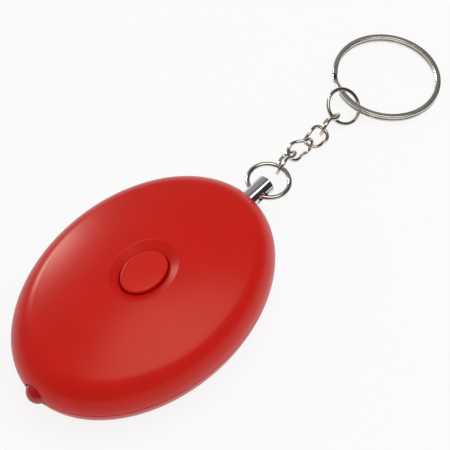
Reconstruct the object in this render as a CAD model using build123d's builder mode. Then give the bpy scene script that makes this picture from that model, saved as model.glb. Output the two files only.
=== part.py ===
"""Personal safety alarm: an oval housing with a button and a lamp, and a pull pin on a chain and split ring.

Millimetres, +Z up. The origin is the middle of the flat rest face under the housing. +X runs along the
housing's long axis, from the lamp end to the pin end, and the chain lies on from there towards +X.
"""

from math import asin, cos, degrees, hypot, radians, sin
import os

from build123d import *

os.makedirs("parts", exist_ok=True)

# Shared clearances
overrun = 2.0  # how far a cut runs past what it cuts
fit_gap = 0.1  # between a plugged or sliding piece and its seat, on each side
clear_gap = 0.3  # between pieces that only pass each other
thread_gap = 0.06  # round a screw's thread in its hole
link_gap = 0.1  # between the wires of two linked rings
split_ring_gap = 1.1  # between the small ring's wire and the split ring's band
floor_gap = 0.1  # between the small ring and what the alarm lies on

# Housing
body_length = 62.0
body_width = 44.0
body_height = 20.0  # from the rest face to the crown
rest_face_depth = 0.3  # how much of the belly the flat rest face takes off
shoulder_radius = 7.3  # tight arc of the side, below the broad crown arc
wall = 1.5  # at the crown and the belly
end_wall = 1.8  # at the two ends
seam_bevel = 0.12
lip_height = 0.9
lip_thickness = 0.6
sunk_share = 0.5  # how deep in the wall an inner boss ends

# Button and its dish
dish_length = 16.8
dish_width = 13.4
dish_depth = 1.5
dish_edge_radius = 0.3
dish_pad_margin = 0.8  # pad under the dish, past the dish's edge
button_length = 11.0
button_width = 8.0
button_rise = 1.1  # top of the button above the foot of the dish
button_edge_radius = 0.4
button_dome_radius = 40.0
button_gap = 0.25
button_flange = 1.1  # how far the flange reaches past the button
button_flange_thickness = 0.8
button_travel = 0.5
button_stem_diameter = 3.4
button_stem_length = 0.75

# Circuit board and its parts
board_rise = 1.1  # underside of the board above the seam
board_thickness = 1.0
board_width = 26.0
board_corner_radius = 2.0
post_diameter = 3.6
post_inset = 2.4  # post's middle from the board's edges
board_screw_diameter = 1.6
board_screw_length = 4.5
board_screw_head_diameter = 3.0
board_screw_head_height = 1.0
switch_side = 6.0
plunger_diameter = 3.0
plunger_rise = 0.8
plunger_depth = 1.2
chip_length = 5.0
chip_width = 4.0
chip_height = 1.5
chip_place_shares = (-0.18, -0.23)  # from the board's middle, of its length and width
coil_diameter = 7.0
coil_flange = 0.9
coil_core_diameter = 3.0
coil_height_share = 0.65  # of the room above the board
coil_place_shares = (-0.22, 0.208)
transistor_width = 4.4
transistor_depth = 3.4
transistor_height_share = 0.6  # of the room above the board
transistor_place_shares = (0.2, -0.27)
resistor_length = 2.0
resistor_width = 1.25
resistor_height = 0.55
resistor_count = 3
resistor_pitch = 2.2
resistor_place_shares = (0.12, 0.27)

# Lamp
lamp_diameter = 5.0
lamp_length = 8.6
lamp_flange_diameter = 5.8
lamp_flange_thickness = 1.0
lamp_proud = 1.35  # how far the dome stands out of the housing
lamp_rib_thickness = 1.2
lamp_rib_width = 8.0
lamp_rib_inset = 4.0  # from the end of the housing to the rib
lead_diameter = 0.5
lead_pitch = 2.54
lead_bend = 0.9
lead_reach = 1.6  # from the board's lamp end to the lead holes
lead_tail = 0.6  # how far a lead stands out above the board

# Sounder
sounder_diameter = 20.0
sounder_thickness = 0.3
sounder_ceramic_diameter = 14.0
sounder_ceramic_thickness = 0.25
sounder_centre = 8.5  # from the middle towards the lamp
sounder_seat_level = 3.8  # underside of the plate above the rest face
sounder_rim = 1.2
sounder_rim_height = 0.7
sounder_ledge = 1.0
sound_hole_diameter = 1.5
sound_hole_circle = 7.0
sound_hole_count = 6
sounder_lead_diameter = 0.7
sounder_lead_pitch = 5.0

# Cells: their diameter follows from the room between the switch and the contact block
cell_height = 5.4
cell_cap_inset = 1.0  # from the cell's edge to its cap's
cell_cap_height = 0.4
cell_bevel = 0.25
cell_count = 3
cell_rise = 0.6  # cells' axis above the seam
holder_wall = 0.7
holder_room = 0.95  # between the holder and the switch, and between it and the contact block
holder_corner_radius = 1.8
holder_rib_thickness = 1.2
holder_rib_spread = 10.0
strip_thickness = 0.3
strip_narrower = 4.6  # strip's width, less than the cell's diameter
strip_shorter = 3.6  # strip's height, less than the cell's diameter
strip_bow = 0.9  # room that the bowed strip takes

# Pin, socket and contacts
pin_head_diameter = 4.2
pin_head_out = 5.9  # head beyond the end of the housing
pin_head_in = 0.8  # head inside its counterbore
pin_head_bevel = 0.2
pin_shaft_diameter = 2.5
pin_shaft_length = 9.4
pin_tip_radius = 0.8
pin_eye_diameter = 3.0
pin_eye_out = 2.3  # cross hole's middle beyond the end of the housing
pin_pocket_diameter = 4.6
pin_pocket_depth = 1.0
socket_diameter = 6.0
socket_length = 4.6
socket_collar_diameter = 7.4
socket_collar_length = 1.0
socket_bore_gap = 0.06
socket_inset = 1.2  # from the inside of the end wall to the socket
socket_rib_thickness = 1.6
socket_rib_width = 9.0
leaf_thickness = 0.3
leaf_width = 2.6
leaf_reach = 1.9  # how far a leaf lies along the pin
leaf_lead_in = 0.5
contact_block_length = 1.8
contact_block_width = 5.0
contact_block_height = 7.0
contact_block_gap = 0.9  # from the pin's tip to the block

# Case screws
screw_inset_x = 10.0  # screw's middle from the end of the housing
screw_inset_y = 12.0  # screw's middle from the side of the housing
screw_diameter = 2.0
screw_length = 9.0
screw_head_diameter = 3.8
screw_head_height = 1.3
screw_seat_level = 4.6  # where the head bears, above the rest face
screw_boss_diameter = 5.2
screw_slot_length = 2.2
screw_slot_width = 0.6
screw_slot_depth = 0.5

# Chain and rings
pin_ring_diameter = 10.1
pin_ring_wire = 1.05
link_length = 7.7
link_width = 4.7
link_wire = 0.8
link_count = 4
small_ring_diameter = 8.9
small_ring_wire = 0.85
ring_joint_angle = 1.2  # opening of a bent ring's butt joint
split_ring_diameter = 25.0
split_ring_band = 1.2
split_ring_turn_height = 0.8
split_ring_slit = 0.1
split_ring_edge_radius = 0.3

# How the chain lies: heading from +X towards +Y, slope above level, roll about its own run
pin_ring_heading_angle = 5.0
pin_ring_slope_angle = -5.0
pin_ring_joint_place_angle = 95.0
link_heading_angles = (18.0, -10.0, 11.0, 14.0)
link_roll_angles = (-58.0, 65.0, 8.0, -64.0)
link_half_twist_angle = 15.0
small_ring_heading_angle = 4.0
small_ring_roll_angle = 34.0
small_ring_joint_place_angle = -100.0
split_ring_heading_angle = -8.5
split_step_angle = 26.0  # stretch where one turn steps up to the other
split_step_place_angle = 154.5  # middle of that stretch, round the ring from its far side
split_step_sections = 7

# Levels and places that follow from the sizes above
half_length = body_length / 2
half_width = body_width / 2
half_height = (body_height + rest_face_depth) / 2
seam_level = half_height - rest_face_depth
width_share = body_width / body_length
inner_end = half_length - end_wall
dish_foot = body_height - dish_depth
pad_under = dish_foot - wall
flange_top = pad_under - fit_gap
flange_under = flange_top - button_flange_thickness
board_under = seam_level + board_rise
board_top = board_under + board_thickness
room_above_board = body_height - wall - board_top
plunger_top = flange_under - button_stem_length
switch_top = plunger_top - plunger_rise
screw_x = half_length - screw_inset_x
screw_y = half_width - screw_inset_y
pin_head_foot = half_length - pin_head_in
pin_tip = pin_head_foot - pin_shaft_length
block_face = pin_tip - contact_block_gap
block_back = block_face - contact_block_length
switch_edge = switch_side / 2
cell_centre = (switch_edge + block_back) / 2
cell_level = seam_level + cell_rise
holder_half_x = (block_back - switch_edge) / 2 - holder_room
cell_radius = holder_half_x - holder_wall - fit_gap
strip_width = cell_radius * 2 - strip_narrower
strip_height = cell_radius * 2 - strip_shorter
holder_inner_length = cell_height * cell_count + strip_thickness * 2 + strip_bow
holder_half_y = holder_inner_length / 2 + holder_wall
holder_under = cell_level - holder_half_x
board_end = cell_centre - holder_half_x - clear_gap
board_start = -(screw_x - screw_boss_diameter / 2) + clear_gap * 2
board_length = board_end - board_start
board_middle = (board_end + board_start) / 2
lamp_tip = -half_length - lamp_proud
lamp_base = lamp_tip + lamp_length
socket_end = inner_end - socket_inset
socket_start = socket_end - socket_length
socket_rib_middle = socket_start + socket_collar_length + socket_rib_thickness / 2
pin_ring_run = pin_ring_diameter - pin_ring_wire
link_run = link_length - link_wire
link_swing = (link_width - link_wire) / 2
small_ring_run = small_ring_diameter - small_ring_wire
pin_ring_far_level = seam_level + pin_ring_run * sin(radians(pin_ring_slope_angle))
small_ring_level = floor_gap + small_ring_wire / 2 + small_ring_run / 2 * sin(radians(small_ring_roll_angle))
chain_run = (link_run - link_wire - link_gap) * link_count
link_slope_angle = -degrees(asin((pin_ring_far_level - small_ring_level) / chain_run))
sounder_radius = sounder_diameter / 2
sounder_top = sounder_seat_level + sounder_thickness + sounder_ceramic_thickness


def biarc_joint(run, rise, shoulder):
    """Returns where the shoulder arc of a quarter outline meets its crown arc."""
    crown = ((run - shoulder) ** 2 + rise**2 - shoulder**2) / (2 * (rise - shoulder))
    reach = run - shoulder
    span = hypot(reach, crown - rise)
    return reach + shoulder * reach / span, shoulder * (crown - rise) / span


def form_plane():
    """Returns the upright plane of the housing's long outline, at seam level."""
    return Plane((0, 0, seam_level), x_dir=(1, 0, 0), z_dir=(0, -1, 0))


def half_form(inset_share, side):
    """Makes a solid half of the form, drawn in by a share of the wall; side is 1 for the upper half."""
    run = half_length - end_wall * inset_share
    rise = half_height - wall * inset_share
    joint_run, joint_rise = biarc_joint(run, rise, shoulder_radius - wall * inset_share)
    with BuildPart() as form:
        with BuildSketch(form_plane()):
            with BuildLine():
                TangentArc((run, 0), (joint_run, side * joint_rise), tangent=(0, side))
                TangentArc((0, side * rise), (joint_run, side * joint_rise), tangent=(1, 0))
                Line((0, side * rise), (0, 0))
                Line((0, 0), (run, 0))
            make_face()
        revolve(axis=Axis.Z)
        scale(by=(1, width_share, 1))
    return form.part


def half_shell(side):
    """Makes one half of the hollow housing: a turned ring section, squeezed to the housing's width."""
    run = half_length
    rise = half_height
    inner_rise = rise - wall
    joint_run, joint_rise = biarc_joint(run, rise, shoulder_radius)
    inner_run, inner_joint_rise = biarc_joint(inner_end, inner_rise, shoulder_radius - wall)
    with BuildPart() as shell:
        with BuildSketch(form_plane()):
            with BuildLine():
                TangentArc((run, 0), (joint_run, side * joint_rise), tangent=(0, side))
                TangentArc((0, side * rise), (joint_run, side * joint_rise), tangent=(1, 0))
                Line((0, side * rise), (0, side * inner_rise))
                TangentArc((0, side * inner_rise), (inner_run, side * inner_joint_rise), tangent=(1, 0))
                TangentArc((inner_end, 0), (inner_run, side * inner_joint_rise), tangent=(0, side))
                Line((inner_end, 0), (run, 0))
            make_face()
            with Locations((run, 0)):
                Rectangle(seam_bevel * 2, seam_bevel * 2, rotation=45, mode=Mode.SUBTRACT)
        revolve(axis=Axis.Z)
        scale(by=(1, width_share, 1))
    return shell.part


def across(place):
    """Returns the plane across the housing's long axis at a place, centred on the seam and facing the pin."""
    return Plane((place, 0, seam_level), x_dir=(0, 1, 0), z_dir=(1, 0, 0))


def board_spot(place_shares):
    """Returns a place on the board from its shares of the board's length and width."""
    return board_middle + place_shares[0] * board_length, place_shares[1] * board_width


def screw_places():
    """Returns the four case screw places."""
    return GridLocations(screw_x * 2, screw_y * 2, 2, 2)


def post_places():
    """Returns the four board posts' places, about the board's middle."""
    return GridLocations(board_length - post_inset * 2, board_width - post_inset * 2, 2, 2)


# What passes through the two ends of the housing, at the seam
with BuildPart() as end_openings:
    with BuildSketch(across(lamp_tip - overrun)):
        Circle(lamp_diameter / 2 + fit_gap)
    extrude(amount=overrun + lamp_length)
    with BuildSketch(across(half_length + overrun)):
        Circle(pin_pocket_diameter / 2)
    extrude(amount=-(overrun + pin_pocket_depth))
    with BuildSketch(across(half_length)):
        Circle(pin_shaft_diameter / 2 + clear_gap)
    extrude(amount=-(end_wall + overrun))
    with BuildSketch(across(socket_end + clear_gap)):
        Circle(socket_diameter / 2 + fit_gap)
    extrude(amount=-(socket_length + clear_gap))
    with BuildSketch(across(socket_start + socket_collar_length + fit_gap)):
        Circle(socket_collar_diameter / 2 + clear_gap)
    extrude(amount=-(socket_collar_length + clear_gap))

# The two saddle ribs that hold the lamp and the socket, full height before they are trimmed
with BuildPart() as saddle_ribs:
    with BuildSketch(across(lamp_rib_inset - half_length)):
        Rectangle(lamp_rib_width, body_height * 2)
    extrude(amount=lamp_rib_thickness)
    with BuildSketch(across(socket_rib_middle)):
        Rectangle(socket_rib_width, body_height * 2)
    extrude(amount=socket_rib_thickness / 2, both=True)

# Top cover: the upper shell, its screw bosses, board posts, saddle ribs and the dish for the button
opening_x = button_length / 2 + button_gap
opening_y = button_width / 2 + button_gap
dish_run_x = (dish_length / 2 - opening_x) / dish_depth
dish_run_y = (dish_width / 2 - opening_y) / dish_depth
rebate_run = inner_end + lip_thickness + fit_gap
upper_shell = half_shell(1)
upper_middle_form = half_form(sunk_share, 1)
with BuildPart() as top_cover:
    add(saddle_ribs.part)
    with BuildSketch(Plane.XY.offset(seam_level)):
        with screw_places():
            Circle(screw_boss_diameter / 2)
    extrude(amount=half_height)
    with BuildSketch(Plane.XY.offset(board_top)):
        with Locations((board_middle, 0)):
            with post_places():
                Circle(post_diameter / 2)
    extrude(amount=half_height)
    with BuildSketch(Plane.XY.offset(pad_under)):
        Ellipse(dish_length / 2 + dish_pad_margin, dish_width / 2 + dish_pad_margin)
    extrude(amount=half_height)
    add(upper_middle_form, mode=Mode.INTERSECT)
    add(upper_shell)
    with BuildSketch(Plane.XY.offset(dish_foot)):
        Ellipse(opening_x, opening_y)
    cut_height = dish_depth + overrun
    with BuildSketch(Plane.XY.offset(dish_foot + cut_height)):
        Ellipse(opening_x + dish_run_x * cut_height, opening_y + dish_run_y * cut_height)
    loft(mode=Mode.SUBTRACT)
    high_edges = top_cover.edges().filter_by(lambda edge: edge.bounding_box().min.Z > dish_foot + fit_gap)
    fillet(high_edges.filter_by(lambda edge: edge.bounding_box().size.X > button_length), dish_edge_radius)
    with BuildSketch(Plane.XY.offset(pad_under - overrun)):
        Ellipse(opening_x, opening_y)
    extrude(amount=wall + dish_depth + overrun * 2, mode=Mode.SUBTRACT)
    with BuildSketch(Plane.XY.offset(seam_level)):
        Ellipse(rebate_run, rebate_run * width_share)
        Ellipse(inner_end - clear_gap, (inner_end - clear_gap) * width_share, mode=Mode.SUBTRACT)
    extrude(amount=lip_height + fit_gap, mode=Mode.SUBTRACT)
    with BuildSketch(Plane.XY.offset(seam_level)):
        with screw_places():
            Circle(screw_diameter / 2 + thread_gap)
    extrude(amount=screw_length - (seam_level - screw_seat_level) + clear_gap, mode=Mode.SUBTRACT)
    with BuildSketch(Plane.XY.offset(board_top)):
        with Locations((board_middle, 0)):
            with post_places():
                Circle(board_screw_diameter / 2 + thread_gap)
    extrude(amount=board_screw_length - board_thickness + clear_gap, mode=Mode.SUBTRACT)
    add(end_openings.part, mode=Mode.SUBTRACT)
top_cover.part.label = "top_cover"
export_step(top_cover.part, "parts/top_cover.step")

# Bottom cover: the lower shell with its locating lip, screw bosses, sounder seat, sound holes and seats
lip_run = inner_end + lip_thickness
chamber_radius = sounder_radius - sounder_ledge
lower_shell = half_shell(-1)
lower_middle_form = half_form(sunk_share, -1)
with BuildPart() as bottom_cover:
    add(saddle_ribs.part)
    with BuildSketch(Plane.XY):
        with screw_places():
            Circle(screw_boss_diameter / 2)
    extrude(amount=seam_level)
    with BuildSketch(Plane.XY):
        with Locations((-sounder_centre, 0)):
            Circle(sounder_radius + fit_gap + sounder_rim)
            Circle(chamber_radius, mode=Mode.SUBTRACT)
    extrude(amount=sounder_seat_level + sounder_rim_height)
    with BuildSketch(Plane.XY):
        with Locations((cell_centre, 0)):
            with GridLocations(holder_half_x, holder_rib_spread, 1, 2):
                Rectangle(holder_half_x * 2 - holder_corner_radius * 2, holder_rib_thickness)
    extrude(amount=holder_under)
    with BuildSketch(Plane.XY):
        with Locations((block_back + contact_block_length / 2, 0)):
            Rectangle(contact_block_length, contact_block_width)
    extrude(amount=seam_level - contact_block_height / 2)
    add(lower_middle_form, mode=Mode.INTERSECT)
    add(lower_shell)
    with BuildSketch(Plane.XY.offset(seam_level - lip_height)):
        Ellipse(lip_run, lip_run * width_share)
        Ellipse(inner_end, inner_end * width_share, mode=Mode.SUBTRACT)
    extrude(amount=lip_height * 2)
    with BuildSketch(Plane.XY.offset(sounder_seat_level)):
        with Locations((-sounder_centre, 0)):
            Circle(sounder_radius + fit_gap)
    extrude(amount=sounder_rim_height + overrun, mode=Mode.SUBTRACT)
    with BuildSketch(Plane.XY.offset(-rest_face_depth - overrun)):
        with Locations((-sounder_centre, 0)):
            Circle(sound_hole_diameter / 2)
            with PolarLocations(sound_hole_circle / 2, sound_hole_count):
                Circle(sound_hole_diameter / 2)
    extrude(amount=rest_face_depth + overrun + sounder_seat_level, mode=Mode.SUBTRACT)
    with BuildSketch(Plane.XY.offset(-rest_face_depth - overrun)):
        with screw_places():
            Circle(screw_head_diameter / 2 + fit_gap)
    extrude(amount=rest_face_depth + overrun + screw_seat_level, mode=Mode.SUBTRACT)
    with BuildSketch(Plane.XY.offset(screw_seat_level)):
        with screw_places():
            Circle(screw_diameter / 2 + fit_gap)
    extrude(amount=seam_level, mode=Mode.SUBTRACT)
    add(end_openings.part, mode=Mode.SUBTRACT)
    split(bisect_by=Plane.XY, keep=Keep.TOP)
bottom_cover.part.label = "bottom_cover"
export_step(bottom_cover.part, "parts/bottom_cover.step")

# Light button: an oval key with a retaining flange and a stem that bears on the switch
with BuildPart() as light_button:
    with BuildSketch(Plane.XY.offset(flange_under)):
        Ellipse(button_length / 2, button_width / 2)
    extrude(amount=dish_foot + button_rise - flange_under)
    with Locations((0, 0, dish_foot + button_rise - button_dome_radius)):
        Sphere(button_dome_radius, mode=Mode.INTERSECT)
    fillet(light_button.faces().sort_by(Axis.Z)[-1].edges(), button_edge_radius)
    with BuildSketch(Plane.XY.offset(flange_under)):
        Ellipse(button_length / 2 + button_flange, button_width / 2 + button_flange)
    extrude(amount=button_flange_thickness)
    with BuildSketch(Plane.XY.offset(flange_under)):
        Circle(button_stem_diameter / 2)
    extrude(amount=-button_stem_length)
light_button.part.label = "light_button"
export_step(light_button.part, "parts/light_button.step")

# Tactile switch under the button
with BuildPart() as switch_body:
    with BuildSketch(Plane.XY.offset(board_top)):
        Rectangle(switch_side, switch_side)
    extrude(amount=switch_top - board_top)
    chamfer(switch_body.edges().filter_by(Axis.Z), fit_gap * 3)
    with BuildSketch(Plane.XY.offset(switch_top - plunger_depth - button_travel - fit_gap)):
        Circle(plunger_diameter / 2 + fit_gap)
    extrude(amount=plunger_depth + button_travel + fit_gap, mode=Mode.SUBTRACT)
switch_body.part.label = "switch_body"
export_step(switch_body.part, "parts/switch_body.step")

with BuildPart() as switch_plunger:
    with BuildSketch(Plane.XY.offset(plunger_top)):
        Circle(plunger_diameter / 2)
    extrude(amount=-(plunger_rise + plunger_depth))
switch_plunger.part.label = "switch_plunger"
export_step(switch_plunger.part, "parts/switch_plunger.step")

# Circuit board, with holes for its screws and the lamp's leads
lead_hole_x = board_start + lead_reach
with BuildPart() as circuit_board:
    with BuildSketch(Plane.XY.offset(board_under)):
        with Locations((board_middle, 0)):
            RectangleRounded(board_length, board_width, board_corner_radius)
            with post_places():
                Circle(board_screw_diameter / 2 + fit_gap, mode=Mode.SUBTRACT)
        with Locations((lead_hole_x, 0)):
            with GridLocations(lead_reach, lead_pitch, 1, 2):
                Circle(lead_diameter / 2 + fit_gap, mode=Mode.SUBTRACT)
    extrude(amount=board_thickness)
circuit_board.part.label = "circuit_board"
export_step(circuit_board.part, "parts/circuit_board.step")

with BuildPart() as board_screws:
    with BuildSketch(Plane.XY.offset(board_under)):
        with Locations((board_middle, 0)):
            with post_places():
                Circle(board_screw_head_diameter / 2)
    extrude(amount=-board_screw_head_height)
    with BuildSketch(Plane.XY.offset(board_under)):
        with Locations((board_middle, 0)):
            with post_places():
                Circle(board_screw_diameter / 2)
    extrude(amount=board_screw_length)
board_screws.part.label = "board_screws"
export_step(board_screws.part, "parts/board_screws.step")

# Parts on the board
with BuildPart() as driver_chip:
    with BuildSketch(Plane.XY.offset(board_top)):
        with Locations(board_spot(chip_place_shares)):
            Rectangle(chip_length, chip_width)
    extrude(amount=chip_height)
    chamfer(driver_chip.faces().sort_by(Axis.Z)[-1].edges(), fit_gap * 2)
driver_chip.part.label = "driver_chip"
export_step(driver_chip.part, "parts/driver_chip.step")

coil_height = room_above_board * coil_height_share
coil_spot = board_spot(coil_place_shares)
with BuildPart() as boost_coil_core:
    with BuildSketch(Plane.XY.offset(board_top)):
        with Locations(coil_spot):
            Circle(coil_diameter / 2)
    extrude(amount=coil_flange)
    with BuildSketch(Plane.XY.offset(board_top)):
        with Locations(coil_spot):
            Circle(coil_core_diameter / 2)
    extrude(amount=coil_height)
    with BuildSketch(Plane.XY.offset(board_top + coil_height)):
        with Locations(coil_spot):
            Circle(coil_diameter / 2)
    extrude(amount=-coil_flange)
boost_coil_core.part.label = "boost_coil_core"
export_step(boost_coil_core.part, "parts/boost_coil_core.step")

with BuildPart() as boost_coil_winding:
    with BuildSketch(Plane.XY.offset(board_top + coil_flange)):
        with Locations(coil_spot):
            Circle(coil_diameter / 2 - clear_gap)
            Circle(coil_core_diameter / 2, mode=Mode.SUBTRACT)
    extrude(amount=coil_height - coil_flange * 2)
boost_coil_winding.part.label = "boost_coil_winding"
export_step(boost_coil_winding.part, "parts/boost_coil_winding.step")

with BuildPart() as driver_transistor:
    with BuildSketch(Plane.XY.offset(board_top)):
        with Locations(board_spot(transistor_place_shares)):
            Circle(transistor_width / 2)
            with Locations((0, -transistor_depth)):
                Rectangle(transistor_width, transistor_depth, mode=Mode.SUBTRACT)
    extrude(amount=room_above_board * transistor_height_share)
driver_transistor.part.label = "driver_transistor"
export_step(driver_transistor.part, "parts/driver_transistor.step")

with BuildPart() as board_resistors:
    with BuildSketch(Plane.XY.offset(board_top)):
        with Locations(board_spot(resistor_place_shares)):
            with GridLocations(resistor_length, resistor_pitch, 1, resistor_count):
                Rectangle(resistor_length, resistor_width)
    extrude(amount=resistor_height)
board_resistors.part.label = "board_resistors"
export_step(board_resistors.part, "parts/board_resistors.step")

# Lamp: a domed lens with its flange, turned about the long axis, and two bent leads
dome_start = lamp_tip + lamp_diameter / 2
flange_face = lamp_base - lamp_flange_thickness
with BuildPart() as lamp_lens:
    with BuildSketch(form_plane()):
        with BuildLine():
            Polyline(
                (lamp_tip, 0),
                (lamp_base, 0),
                (lamp_base, lamp_flange_diameter / 2),
                (flange_face, lamp_flange_diameter / 2),
                (flange_face, lamp_diameter / 2),
                (dome_start, lamp_diameter / 2),
            )
            TangentArc((dome_start, lamp_diameter / 2), (lamp_tip, 0), tangent=(-1, 0))
        make_face()
    revolve(axis=Axis((0, 0, seam_level), (1, 0, 0)))
lamp_lens.part.label = "lamp_lens"
export_step(lamp_lens.part, "parts/lamp_lens.step")

with BuildPart() as lamp_leads:
    for side in (-1, 1):
        with BuildLine(form_plane().offset(side * lead_pitch / 2)) as lead_path:
            FilletPolyline(
                (lamp_base, 0),
                (lead_hole_x, 0),
                (lead_hole_x, board_rise + board_thickness + lead_tail),
                radius=lead_bend,
            )
        lead_wire = lead_path.wires()[0]
        with BuildSketch(Plane(origin=lead_wire @ 0, z_dir=lead_wire % 0)):
            Circle(lead_diameter / 2)
        sweep(path=lead_wire)
lamp_leads.part.label = "lamp_leads"
export_step(lamp_leads.part, "parts/lamp_leads.step")

# Sounder: a metal plate on the chamber's ledge, its ceramic disc and two wires up to the board
with BuildPart() as sounder_plate:
    with BuildSketch(Plane.XY.offset(sounder_seat_level)):
        with Locations((-sounder_centre, 0)):
            Circle(sounder_radius)
    extrude(amount=sounder_thickness)
sounder_plate.part.label = "sounder_plate"
export_step(sounder_plate.part, "parts/sounder_plate.step")

with BuildPart() as sounder_ceramic:
    with BuildSketch(Plane.XY.offset(sounder_seat_level + sounder_thickness)):
        with Locations((-sounder_centre, 0)):
            Circle(sounder_ceramic_diameter / 2)
    extrude(amount=sounder_ceramic_thickness)
sounder_ceramic.part.label = "sounder_ceramic"
export_step(sounder_ceramic.part, "parts/sounder_ceramic.step")

with BuildPart() as sounder_leads:
    with BuildSketch(Plane.XY.offset(sounder_top)):
        with Locations((-sounder_centre, 0)):
            with GridLocations(sounder_lead_pitch, sounder_lead_diameter, 2, 1):
                Circle(sounder_lead_diameter / 2)
    extrude(amount=board_under - sounder_top)
sounder_leads.part.label = "sounder_leads"
export_step(sounder_leads.part, "parts/sounder_leads.step")

# Cell holder: an open trough across the housing, with the cells and their two contact strips
with BuildPart() as cell_holder:
    with BuildSketch(Plane.XY.offset(holder_under)):
        with Locations((cell_centre, 0)):
            RectangleRounded(holder_half_x * 2, holder_half_y * 2, holder_corner_radius)
    extrude(amount=holder_half_x)
    with BuildSketch(Plane((cell_centre, 0, cell_level), x_dir=(1, 0, 0), z_dir=(0, -1, 0))):
        Circle(cell_radius + fit_gap)
    extrude(amount=holder_inner_length / 2, both=True, mode=Mode.SUBTRACT)
cell_holder.part.label = "cell_holder"
export_step(cell_holder.part, "parts/cell_holder.step")

strip_face = holder_inner_length / 2
stack_end = strip_face - strip_thickness
for cell_index in range(cell_count):
    cell_end = stack_end - cell_height * cell_index
    with BuildPart() as button_cell:
        with BuildSketch(Plane((cell_centre, cell_end, cell_level), x_dir=(1, 0, 0), z_dir=(0, -1, 0))):
            Circle(cell_radius)
        extrude(amount=cell_height - cell_cap_height)
        chamfer(button_cell.edges(), cell_bevel)
        cap_plane = Plane((cell_centre, cell_end, cell_level), x_dir=(1, 0, 0), z_dir=(0, -1, 0))
        with BuildSketch(cap_plane.offset(cell_height - cell_cap_height)):
            Circle(cell_radius - cell_cap_inset)
        extrude(amount=cell_cap_height)
    cell_name = f"button_cell_{cell_index + 1}"
    button_cell.part.label = cell_name
    export_step(button_cell.part, f"parts/{cell_name}.step")

with BuildPart() as cell_plus_strip:
    with BuildSketch(Plane((cell_centre, strip_face, cell_level), x_dir=(1, 0, 0), z_dir=(0, -1, 0))):
        RectangleRounded(strip_width, strip_height, strip_thickness)
    extrude(amount=strip_thickness)
cell_plus_strip.part.label = "cell_plus_strip"
export_step(cell_plus_strip.part, "parts/cell_plus_strip.step")

bow_back = strip_thickness / 2 - strip_face
bow_front = bow_back + strip_bow - fit_gap
with BuildPart() as cell_minus_strip:
    with BuildSketch(Plane((cell_centre, 0, cell_level), x_dir=(0, 1, 0), z_dir=(1, 0, 0))):
        with BuildLine() as strip_line:
            Line((bow_back, -strip_height / 2), (bow_back, strip_height / 2))
        trace(strip_line.line, strip_thickness)
        with BuildLine() as bow_line:
            ThreePointArc((bow_back, -strip_height / 3), (bow_front, 0), (bow_back, strip_height / 3))
        trace(bow_line.line, strip_thickness)
    extrude(amount=strip_width / 2, both=True)
cell_minus_strip.part.label = "cell_minus_strip"
export_step(cell_minus_strip.part, "parts/cell_minus_strip.step")

# Pin socket, contact block and the two contact leaves that the pin keeps apart
with BuildPart() as pin_socket:
    with BuildSketch(across(socket_start)):
        Circle(socket_diameter / 2)
    extrude(amount=socket_length)
    with BuildSketch(across(socket_start)):
        Circle(socket_collar_diameter / 2)
    extrude(amount=socket_collar_length)
    with BuildSketch(across(socket_start - overrun)):
        Circle(pin_shaft_diameter / 2 + socket_bore_gap)
    extrude(amount=socket_length + overrun * 2, mode=Mode.SUBTRACT)
pin_socket.part.label = "pin_socket"
export_step(pin_socket.part, "parts/pin_socket.step")

leaf_level = pin_shaft_diameter / 2 + fit_gap + leaf_thickness / 2
with BuildPart() as contact_block:
    with BuildSketch(across(block_back)):
        Rectangle(contact_block_width, contact_block_height)
        for side in (-1, 1):
            with Locations((0, side * leaf_level)):
                Rectangle(leaf_width + thread_gap * 2, leaf_thickness + thread_gap * 2, mode=Mode.SUBTRACT)
    extrude(amount=contact_block_length)
contact_block.part.label = "contact_block"
export_step(contact_block.part, "parts/contact_block.step")

leaf_end = pin_tip + leaf_reach
for leaf_name, side in (("contact_leaf_upper", 1), ("contact_leaf_lower", -1)):
    with BuildPart() as contact_leaf:
        with BuildSketch(form_plane()):
            with BuildLine() as leaf_line:
                Polyline(
                    (block_back, side * leaf_level),
                    (leaf_end - leaf_lead_in, side * leaf_level),
                    (leaf_end, side * (leaf_level + leaf_lead_in)),
                )
            trace(leaf_line.line, leaf_thickness)
        extrude(amount=leaf_width / 2, both=True)
    contact_leaf.part.label = leaf_name
    export_step(contact_leaf.part, f"parts/{leaf_name}.step")

# Four case screws, put in from below
with BuildPart() as case_screws:
    with BuildSketch(Plane.XY.offset(screw_seat_level)):
        with screw_places():
            Circle(screw_head_diameter / 2)
    extrude(amount=-screw_head_height)
    with BuildSketch(Plane.XY.offset(screw_seat_level - screw_head_height)):
        with screw_places():
            Rectangle(screw_slot_length, screw_slot_width)
            Rectangle(screw_slot_width, screw_slot_length)
    extrude(amount=screw_slot_depth, mode=Mode.SUBTRACT)
    with BuildSketch(Plane.XY.offset(screw_seat_level)):
        with screw_places():
            Circle(screw_diameter / 2)
    extrude(amount=screw_length)
case_screws.part.label = "case_screws"
export_step(case_screws.part, "parts/case_screws.step")

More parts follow.
